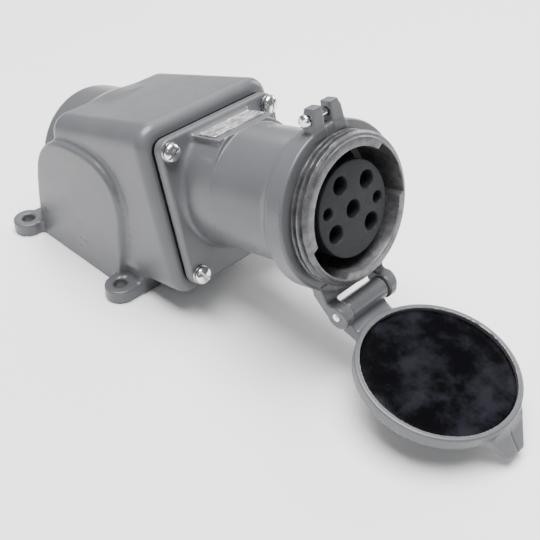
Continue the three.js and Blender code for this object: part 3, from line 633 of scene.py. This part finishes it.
def make_nameplate():
    """A blank silver plate with a raised edge and a few plain raised fields."""
    place = MOUTH @ Matrix.Translation((0, PLATE_TOP + 0.3, 13.75)) @ Matrix.Rotation(-math.pi / 2, 4, "X")
    half_x, half_y = 24, 8.75
    steps = [(0, 0), (0, 0.45), (0.25, 0.7), (1.0, 0.7), (1.3, 0.5)]
    rows = [outline(half_x - inset, half_y - inset, 1.8 - inset, z) for inset, z in steps]
    fields = [(-10, 3.6, 9, 1.2), (12, 3.6, 7, 1.2), (0, 0.2, 20, 0.7), (-6, -3.0, 13, 0.9),
              (14, -3.4, 5, 1.4)]
    vertices, faces = looped(rows, closed=False, caps=True)
    vertices, faces = list(vertices), list(faces)
    for x, y, wide, tall in fields:
        extra, more = looped([[(px + x, py + y, pz) for px, py, pz in outline(wide - i, tall - i, 0.6 - i, z)]
                              for i, z in ((0, 0.3), (0, 0.6), (0.12, 0.68))], closed=False, caps=True)
        faces += [tuple(len(vertices) + k for k in face) for face in more]
        vertices += list(extra)
    piece("blank_plate", vertices, faces, place, BODY, "label_metal", PLATE_METAL, ["nameplate"])


# ---- Fasteners --------------------------------------------------------------------------------------
def screw_places():
    return [(sx * SCREW_X, sy * SCREW_Y - DROP) for sx, sy in ((-1, 1), (1, 1), (-1, -1), (1, -1))]


def slotted_screw(name, node, place, head, tall, shank, length, slot):
    """A dome-head screw along -z with its head on z = 0 and a slot across it."""
    dome = [(head * math.cos(a), tall * (0.28 + 0.72 * math.sin(a)))
            for a in np.linspace(0.05, math.pi / 2, 9)]
    profile = softened([(0, -length), (shank - 0.5, -length), (shank, -length + 0.8), (shank, 0),
                        (head - 0.2, 0), (head, 0.3)], 0.25) + dome[:-1] + [(0, tall)]
    screw = piece(name, *turned(profile, 64), place, BODY, "stainless", STAINLESS, [node])
    rows = [outline(head + 1, 0.75, 0.1, tall * 0.5), outline(head + 1, 0.75, 0.1, tall * 0.9),
            outline(head + 1, 1.0, 0.1, tall + 0.2), outline(head + 1, 1.0, 0.1, tall + 2)]
    cut(screw, [tool(*looped(rows, closed=False, caps=True), place @ Matrix.Rotation(slot, 4, "Z"))])


def make_lock_washer(i, place):
    inner, outer, thick, rise = 4.3, 7.1, 1.7, 0.25
    rows = []
    for a in np.linspace(math.radians(8), math.radians(352), 60):
        lift = rise * a / (2 * math.pi)
        corners = [(inner, lift), (outer, lift), (outer, thick + lift), (inner, thick + lift)]
        section = softened(corners, 0.25, True)
        rows.append([(r * math.cos(a), r * math.sin(a), z) for r, z in section])
    piece(f"split_washer_{i}", *looped(rows, closed=False, caps=True), place, BODY, "spring_steel",
          SPRING_STEEL, [f"lock_washer_{i}"])


def make_fasteners():
    for i, (x, y) in enumerate(screw_places(), 1):
        spin = math.radians(30 + 47 * (i - 1))
        make_lock_washer(i, MOUTH @ Matrix.Translation((x, y, 0.3)) @ Matrix.Rotation(2.1 * i, 4, "Z"))
        slotted_screw(f"dome_screw_{i}", f"flange_screw_{i}", MOUTH @ Matrix.Translation((x, y, 2.6)),
                      6.5, 4.4, 3.9, 28, spin)
    across = (MOUTH @ Matrix.Translation((-15.7, LUG_SCREW_Y, LUG_SCREW_Z))
              @ Matrix.Rotation(-math.pi / 2, 4, "Y"))
    slotted_screw("lug_cross_screw", "lug_screw", across, 4.6, 3.4, 2.4, 31, math.radians(35))
    end = 27.3
    pin = softened([(0, -end), (1.2, -end), (1.2, -end + 0.6), (PIN - 0.1, -end), (PIN, -end + 0.7),
                    (PIN, end - 0.7), (PIN - 0.4, end), (0, end)], 0.2)
    piece("round_pin", *turned(pin, 48), MOUTH @ Matrix.Translation((0, HINGE_Y, HINGE_Z))
          @ Matrix.Rotation(math.pi / 2, 4, "Y"), BODY, "stainless", STAINLESS, ["hinge_pin"])


# ---- Insulator and contacts -------------------------------------------------------------------------
def make_insulator():
    face, radius, back = INSULATOR_FACE, 32.5, 70.0
    body = softened([(0, back), (radius, back), (radius, face), (0, face)], 1.2)
    disc = piece("front_insulator_face", *turned(body, 144), MOUTH, BODY, "phenolic", PHENOLIC,
                 ["front_insulator"])
    cutters = []
    for places, mouth, bore in ((POWER_AT, 6.1, 7.3), (PILOT_AT, 4.1, 4.9)):
        for x, y in places:
            hole = softened([(0, back - 2), (bore, back - 2), (bore, face - 11.7), (mouth, face - 11.7),
                             (mouth, face - 0.6), (mouth + 0.7, face), (mouth + 0.7, face + 2),
                             (0, face + 2)], 0.4)
            cutters.append(tool(*turned(hole, 48), MOUTH @ Matrix.Translation((x, y, 0))))
    cut(disc, cutters)


def make_sockets():
    """Slit spring sockets just behind the insulator's face."""
    front, back, split = INSULATOR_FACE - 12.0, 18.0, SOCKET_SPLIT
    names = ["centre_socket"] + [f"power_socket_{i}" for i in range(1, 5)]
    jobs = [(n, at, 7.0, 5.6, 8.6) for n, at in zip(names, POWER_AT)]
    jobs += [(f"pilot_socket_{i}", at, 4.6, 3.2, 5.4) for i, at in enumerate(PILOT_AT, 1)]
    for name, (x, y), body, bore, flange in jobs:
        profile = softened([(0, back + 16), (bore * 0.8, back + 16), (bore * 0.8, back), (body, back),
                            (body, split - 3.7), (flange, split - 3.7), (flange, split - 0.3),
                            (body, split - 0.3), (body, front), (bore + 0.8, front), (bore, front - 1),
                            (bore, front - 38),
                            (0, front - 42)], 0.3)
        socket = piece(f"slit_{name}", *turned(profile, 48), MOUTH @ Matrix.Translation((x, y, 0)), BODY,
                       "brass", BRASS, [name])
        blade = [outline(body + 2, 0.35, 0.05, z) for z in (front - 30, front + 1)]
        slits = [tool(*looped(blade, closed=False, caps=True),
                      MOUTH @ Matrix.Translation((x, y, 0)) @ Matrix.Rotation(a, 4, "Z"))
                 for a in (0.4, 0.4 + math.pi / 2)]
        cut(socket, slits)


# ---- Cover ------------------------------------------------------------------------------------------
DISH = [(0, COVER_LIP - 6), (COVER_RADIUS - 1.2, COVER_LIP - 6), (COVER_RADIUS, COVER_LIP - 6),
        (COVER_RADIUS, RIM + 6.5), (55, RIM + 8.9), (51.5, RIM + 10.1), (40, COVER_BACK - 1),
        (22, COVER_BACK - 0.2), (0, COVER_BACK)]
NECK = [(-52, RIM + 8.5), (-54.5, RIM - 0.5), (-60, RIM - 2.5), (HINGE_Y, HINGE_Z + 2),
        (HINGE_Y - 7, HINGE_Z + 3), (-66, RIM + 7.5)]
TAB_SIDE = [(50, RIM + 1), (56.5, RIM + 1.5), (70.6, RIM + 15.5), (68.2, RIM + 18.5), (56.5, RIM + 9),
            (48, RIM + 9)]
TAB_PLAN = [(0, 45), (21, 45), (19, 55), (7.6, 69.4), (6, 70.6), (0, 70.6)]


def cover_field(x, y, z):
    radius, side = np.hypot(x, y), np.abs(x)
    dish = meet(polygon(radius, z, DISH), COVER_LIP - z, 1.1)
    neck = meet(polygon(y, z, NECK), side - 18.5, 1.2)
    knuckle = meet(np.hypot(y - HINGE_Y, z - HINGE_Z) - KNUCKLE, side - 18.5, 1.0)
    tab = meet(polygon(y, z, TAB_SIDE), polygon(side, y, TAB_PLAN), 1.3)
    body = blend(blend(dish, blend(neck, knuckle, 2), 2.5), tab, 4.5)
    body = np.maximum(body, COVER_POCKET - 0.01 - radius - 100 * (z > COVER_SEAT) - 100 * (z < 100))
    return np.maximum(body, PIN + PIN_PLAY - np.hypot(y - HINGE_Y, z - HINGE_Z))


def make_cover(step):
    points, faces = surface(cover_field, (-60, -81, 100), (60, 75, RIM + 22), step)
    piece("cast_cover", points, faces, FLAP, COVER_BODY, "painted_casting", ENAMEL, ["cover"], 50)
    back, face, edge = COVER_SEAT - 0.3, RIM + 0.3, COVER_POCKET - 0.3
    pad = softened([(0, face), (edge - 9, face), (edge - 7.5, face), (edge, face), (edge, back),
                    (0, back)], 0.9)
    piece("moulded_disc", *turned(pad, 144), FLAP, COVER_BODY, "cover_rubber", COVER_RUBBER, ["cover_gasket"])


# ---- Pieces -----------------------------------------------------------------------------------------
coarse = 1.0
make_back_box(1.25 * coarse)
make_housing(0.95 * coarse)
make_cover(0.85 * coarse)
make_sleeve()
make_flange_gasket()
make_nameplate()
make_fasteners()
make_insulator()
make_sockets()

KEPT = {"rear_insulator": PHENOLIC, "retaining_ring": SPRING_STEEL, "ground_screw": BRASS}
for name, node in frame["nodes"].items():
    bright = "terminal_screw" in name or "insulator_screw" in name
    material = KEPT.get(name) or (STAINLESS if bright else None)
    if material:
        node.data.materials.clear()
        node.data.materials.append(material)


# ---- Stage, light and camera ------------------------------------------------------------------------
def make_stage():
    material, _, _, shader = tree("pale_floor")
    settings(shader, roughness=0.9)
    shader.inputs["Base Color"].default_value = (0.93, 0.93, 0.935, 1)
    mesh = bpy.data.meshes.new("floor")
    reach = 6.0
    corners = [(-reach, -reach, 0), (reach, -reach, 0), (reach, reach, 0), (-reach, reach, 0)]
    mesh.from_pydata(corners, [], [(0, 1, 2, 3)])
    mesh.materials.append(material)
    floor = bpy.data.objects.new("floor", mesh)
    bpy.context.scene.collection.objects.link(floor)
    floor.location.z = -0.0102 if cad_box[0][2] < 0 else -0.0002


def area_light(name, at, towards, size, power):
    lamp = bpy.data.lights.new(name, "AREA")
    lamp.shape = "RECTANGLE"
    lamp.size, lamp.size_y = size
    lamp.energy = power
    thing = bpy.data.objects.new(name, lamp)
    bpy.context.scene.collection.objects.link(thing)
    thing.location = at
    thing.rotation_euler = (Vector(towards) - Vector(at)).to_track_quat("-Z", "Y").to_euler()


def make_camera():
    azimuth, elevation = math.radians(-45.67), math.radians(38.75)
    lens = bpy.data.cameras.new("camera")
    lens.sensor_width = 36.0
    lens.lens = 61.13
    camera = bpy.data.objects.new("camera", lens)
    bpy.context.scene.collection.objects.link(camera)
    camera.location = (-0.38332, -0.52889, 0.4641)
    camera.rotation_euler = (math.pi / 2 - elevation, 0, azimuth)
    bpy.context.scene.camera = camera


make_stage()
make_camera()
world = bpy.data.worlds.new("studio")
world.use_nodes = True
settings(world.node_tree.nodes["Background"], strength=0.25)
world.node_tree.nodes["Background"].inputs["Color"].default_value = (1, 1, 1, 1)
bpy.context.scene.world = world
middle = (0, -0.15, 0.08)
area_light("top_softbox", (0.0, -0.15, 2.08), middle, (1.6, 1.6), 138)
area_light("back_softbox", (1.13, 0.98, 1.29), middle, (1.4, 1.4), 12)
area_light("right_softbox", (1.85, -0.33, 0.82), middle, (1.0, 1.0), 23)
area_light("corner_spark", (-1.2, -1.1, 1.2), middle, (0.25, 0.25), 1.2)
